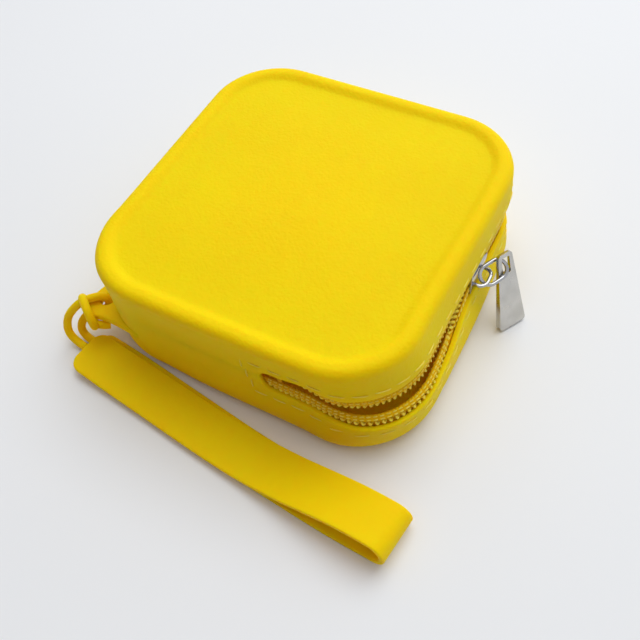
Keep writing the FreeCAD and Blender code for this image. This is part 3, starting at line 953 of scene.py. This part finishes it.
def make_tape(name, line, sign):
    """Woven tape: tucked behind the wall at one edge, sewn under the coil at the other."""
    columns = []
    start = slot_end - tape_past_end
    lip_line = upper_lip_line if sign > 0 else lower_lip_line
    for distance in np.arange(start, mirrored(start), tape_step):
        lip = eased(distance, lip_line)[0]
        base, outward = wall_place(distance)
        foot, tip = coil_places(distance, line)
        front = []
        for from_lip in (tape_tuck, tape_tuck / 2, tape_from_lip):
            level = lip + sign * from_lip
            out = push(distance, level) - wall - tape_wall_gap - tape_thickness / 2
            front.append(Vector((base.x, base.y, level)) + outward * out)
        along = along_wall(outward)
        face = along.cross(tip - foot).normalized()
        face = face * (1 if face.dot(outward) > 0 else -1) * tape_set_front
        front += [foot + face + (tip - foot) * (tape_cover[sign] * share) for share in (0.0, 0.2, 0.6, 1.0)]
        outer = []
        inner = []
        for number, point in enumerate(front):
            before, after = neighbours(front, number)
            half_layer = along.cross(after - before).normalized() * (tape_thickness / 2)
            outer.append(point + half_layer)
            inner.append(point - half_layer)
        columns.append(outer + inner[::-1])
    piece = swept_piece(name, columns, tape_weave_painted_shade)
    layer = piece.data.uv_layers.new(name="weave")
    for loop in piece.data.loops:
        place = piece.data.vertices[loop.vertex_index].co / MM
        layer.data[loop.index].uv = (math.atan2(place.y, place.x) * half, place.z)
    return piece


make_coils()
lower_tape = make_tape("lower_tape", lower_coil_line, -1)
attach(lower_tape, "case")
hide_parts("lower_zip_tape")
upper_tape = make_tape("upper_tape", upper_coil_line, 1)
bend_with_lid(upper_tape)
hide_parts("upper_zip_tape", "upper_tape_ends")


# Thread on the wall


def stitch_place(distance, level, upright=False):
    """Place, axes and stretch of a stitch on the wall."""
    base, outward = wall_place(distance)
    spot = base + outward * (push(distance, level) + stitch_wire * stitch_proud_share)
    first = Vector((0, 0, 1)) if upright else along_wall(outward)
    return Vector((spot.x, spot.y, level)), matrix_of(first, outward, first.cross(outward)), (1, 1, 1)


def make_wall_thread():
    """Rows of stitches above and below the mouth, and the upright row at each of its ends."""
    stitch = make_dash("stitch", stitch_length, stitch_wire, thread_yellow)
    above = []
    below = []
    for number in range(int((mirrored(end_row) - end_row) / stitch_pitch)):
        distance = end_row + stitch_pitch * (number + 0.6)
        above.append(stitch_place(distance, mouth_lip(distance, upper_lip_line) + stitch_from_lip))
        below.append(stitch_place(distance, mouth_lip(distance, lower_lip_line) - stitch_from_lip))
    for distance, slant in ((end_row, end_row_slant), (mirrored(end_row), -end_row_slant)):
        for number in (-1, 0, 1):
            level = mouth_middle - end_row_drop + number * end_row_pitch
            below.append(stitch_place(distance - slant * number, level, upright=True))
    lid_thread = set_on_places("lid_thread", stitch, above, thread_yellow)
    bend_with_lid(lid_thread)
    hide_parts("lid_stitching")
    base_thread = set_on_places("base_thread", stitch, below, thread_yellow)
    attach(base_thread, "case")
    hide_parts("case_stitching")
    bpy.data.objects.remove(stitch)


make_wall_thread()


# Metal


def dressed_copy(node, name, body, material, edge, swell=0.0):
    """Copy of a CAD node with its doubles merged, then swollen or its flat faces joined, its edges rounded
    when an edge is given, and the given finish.
    """
    piece = add_object(name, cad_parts[node].data.copy())
    work = bmesh.new()
    work.from_mesh(piece.data)
    bmesh.ops.remove_doubles(work, verts=work.verts, dist=0.002 * MM)
    if swell:
        work.normal_update()
        for vertex in work.verts:
            vertex.co += vertex.normal * (swell * MM)
    else:
        bmesh.ops.dissolve_limit(work, angle_limit=flat_edge, verts=work.verts, edges=work.edges)
    work.to_mesh(piece.data)
    work.free()
    piece.data.materials.clear()
    piece.data.materials.append(material)
    piece.data.polygons.foreach_set("use_smooth", [True] * len(piece.data.polygons))
    if edge:
        bevel = piece.modifiers.new("edges", "BEVEL")
        bevel.width = edge * MM
        bevel.segments = 3
        bevel.limit_method = "ANGLE"
        bevel.angle_limit = sharp_edge
        bevel.harden_normals = True
        finished(piece)
    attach(piece, body)
    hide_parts(node)


def make_bridge():
    """Arch on the slider that holds the pull's ring: a flat strap of metal with rounded shoulders."""
    low, high = [Vector(corner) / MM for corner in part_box("slider_bail")]
    middle = (low.z + high.z) / 2
    bend = (high.x - low.x) * bridge_bend_share
    metal = bridge_metal / 2
    line = [(low.x - bridge_sunk, low.y + metal)]
    for turn in quarter_turns(6):
        line.append((high.x - metal - bend * (1 - math.sin(turn)),
                     low.y + metal + bend * (1 - math.cos(turn))))
    line += [(across, low.y + high.y - along) for across, along in reversed(line)]
    rings = []
    for number, (across, along) in enumerate(line):
        before, after = neighbours(line, number)
        way = Vector((after[0] - before[0], after[1] - before[1], 0)).normalized()
        side = Vector((-way.y, way.x, 0))
        ring = []
        for step in range(16):
            turn = 2 * math.pi * step / 16
            thick, wide = [math.copysign(abs(value) ** bridge_roundness, value)
                           for value in (math.cos(turn), math.sin(turn))]
            ring.append(Vector((across, along, middle)) + side * (thick * metal)
                        + Vector((0, 0, wide * (high.z - low.z) / 2)))
        rings.append(ring)
    piece = swept_piece("slider_bridge", rings, slider_chrome)
    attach(piece, "slider")
    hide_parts("slider_bail")


dressed_copy("slider_body", "slider_plates", "slider", slider_chrome, 0.22)
make_bridge()
dressed_copy("pull_ring", "pull_link", "ring", slider_chrome, 0, swell=ring_swell)
dressed_copy("pull_tab", "pull_plate", "tab", pull_chrome, 0.3)
dressed_copy("front_stop", "front_zip_stop", "case", stop_nylon, 0.2)
dressed_copy("back_stop", "back_zip_stop", "case", stop_nylon, 0.2)


# Wrist strap


def strap_line():
    """The strap's middle line as (along, sway, level, tilt), out below, round the bight and back above."""
    ends = [strap_near + strap_corner * (1 - math.cos(turn)) for turn in quarter_turns(8)]
    out = ends + list(np.linspace(strap_near + strap_corner, strap_reach, 60))[1:]
    below = [(place, eased(place, lower_sway)[0], strap_thickness / 2, 0) for place in out]
    above = [(place, eased(place, upper_sway)[0], eased(place, upper_levels)[0], eased(place, upper_tilts)[0])
             for place in reversed(out)]
    end, sway, top, tilt = above[0]
    radius = (top - strap_thickness / 2) / 2
    bight = []
    for step in range(1, 20):
        share = step / 20
        turn = math.pi * share
        bight.append((end + radius * math.sin(turn), below[-1][1] * (1 - share) + sway * share,
                      strap_thickness / 2 + radius * (1 - math.cos(turn)), tilt * share))
    return below + bight + above


def strap_section(half_width, half_thickness):
    """Rounded edge all round a flat strip: (across, up)."""
    edge = min(strap_edge, half_thickness * 0.9)
    section = []
    for sx, sz in ((1, 1), (-1, 1), (-1, -1), (1, -1)):
        corner = [(half_width - 3 * edge, half_thickness)]
        for turn in quarter_turns(3):
            corner.append((half_width - edge * (1 - math.sin(turn)),
                           half_thickness - edge * (1 - math.cos(turn))))
        corner = [(sx * across, sz * up) for across, up in corner]
        section += corner[::-1] if sx * sz > 0 else corner
    return section


def make_strap():
    """One band of even thickness, its ends rounded and laid one on the other."""
    line = strap_line()
    turn = math.radians(strap_turn)
    ahead = Vector((math.cos(turn), math.sin(turn), 0))
    across = Vector((-math.sin(turn), math.cos(turn), 0))
    start = Vector((*strap_start, 0))
    rings = []
    for number, (place, sway, level, tilt) in enumerate(line):
        before, after = neighbours(line, number)
        way = (ahead * (after[0] - before[0]) + Vector((0, 0, after[2] - before[2]))).normalized()
        up = way.cross(across) * -1
        from_end = min(place - strap_near, strap_corner)
        cut = strap_corner - math.sqrt(max(0.0, strap_corner ** 2 - (strap_corner - from_end) ** 2))
        half_width, half_thickness = strap_width / 2 - cut, strap_thickness / 2
        if number in (0, len(line) - 1):
            half_width -= strap_end_inset
            half_thickness *= strap_end_thinning
        section = strap_section(half_width, half_thickness)
        middle = start + ahead * place + across * sway + Vector((0, 0, level))
        fall = across - Vector((0, 0, tilt))
        rings.append([middle + fall * side + up * rise for side, rise in section])
    piece = swept_piece("strap_band", rings, strap_silicone)
    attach(piece, "strap")
    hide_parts("wrist_band")


make_strap()


# Floor and light


def make_floor():
    """Plain pale floor just below the case."""
    material, tree, shader, place = new_material("floor_white")
    cloud_colour(tree, shader, place, 3, 2, [(0.3, (0.815, 0.82, 0.835)), (0.7, (0.845, 0.85, 0.865))])
    set_inputs(shader, {"Roughness": 0.8})
    points = [Vector((sx * floor_reach, sy * floor_reach, -floor_drop))
              for sx, sy in ((-1, -1), (1, -1), (1, 1), (-1, 1))]
    add_piece("floor", points, [(0, 1, 2, 3)], material)


def add_lamp(name, kind, place, power, colour):
    """Lamp of a kind at a place."""
    data = bpy.data.lights.new(name, kind)
    data.energy = power
    data.color = colour
    lamp = add_object(name, data)
    lamp.location = place
    return lamp


def make_lamps():
    """Broad soft window above and behind, and a faint warm light inside, as soaks through the walls."""
    window = add_lamp("window", "AREA", window_place, window_power, window_colour)
    window.data.size = window_size
    aim = Vector(window_aim) - Vector(window_place)
    window.rotation_euler = aim.to_track_quat("-Z", "Y").to_euler()
    glow = add_lamp("glow", "POINT", glow_place, glow_power, glow_colour)
    glow.data.shadow_soft_size = glow_size


def make_world():
    """Room that is brightest high at the back and dim and warm low at the front, seen as a pale backdrop."""
    world = bpy.data.worlds.new("studio")
    world.use_nodes = True
    tree = world.node_tree
    background = tree.nodes["Background"]
    coordinate = tree.nodes.new("ShaderNodeTexCoord")
    towards = tree.nodes.new("ShaderNodeVectorMath")
    towards.operation = "DOT_PRODUCT"
    towards.inputs[1].default_value = Vector(room_bright_side).normalized()
    tree.links.new(coordinate.outputs["Generated"], towards.inputs[0])
    tree.links.new(add_ramp(tree, towards.outputs["Value"], room_colours), background.inputs["Color"])
    set_inputs(background, {"Strength": room_light})
    backdrop = tree.nodes.new("ShaderNodeBackground")
    set_inputs(backdrop, {"Color": (*backdrop_colour, 1)})
    ray = tree.nodes.new("ShaderNodeLightPath")
    seen = ray.outputs["Is Camera Ray"]
    for name in ("Is Glossy Ray", "Is Transmission Ray"):
        seen = add_math(tree, "MAXIMUM", seen, ray.outputs[name])
    mix = tree.nodes.new("ShaderNodeMixShader")
    tree.links.new(seen, mix.inputs[0])
    tree.links.new(background.outputs["Background"], mix.inputs[1])
    tree.links.new(backdrop.outputs["Background"], mix.inputs[2])
    tree.links.new(mix.outputs["Shader"], tree.nodes["World Output"].inputs["Surface"])
    bpy.context.scene.world = world


make_floor()
make_world()
make_lamps()
bpy.context.scene.view_settings.view_transform = "Standard"
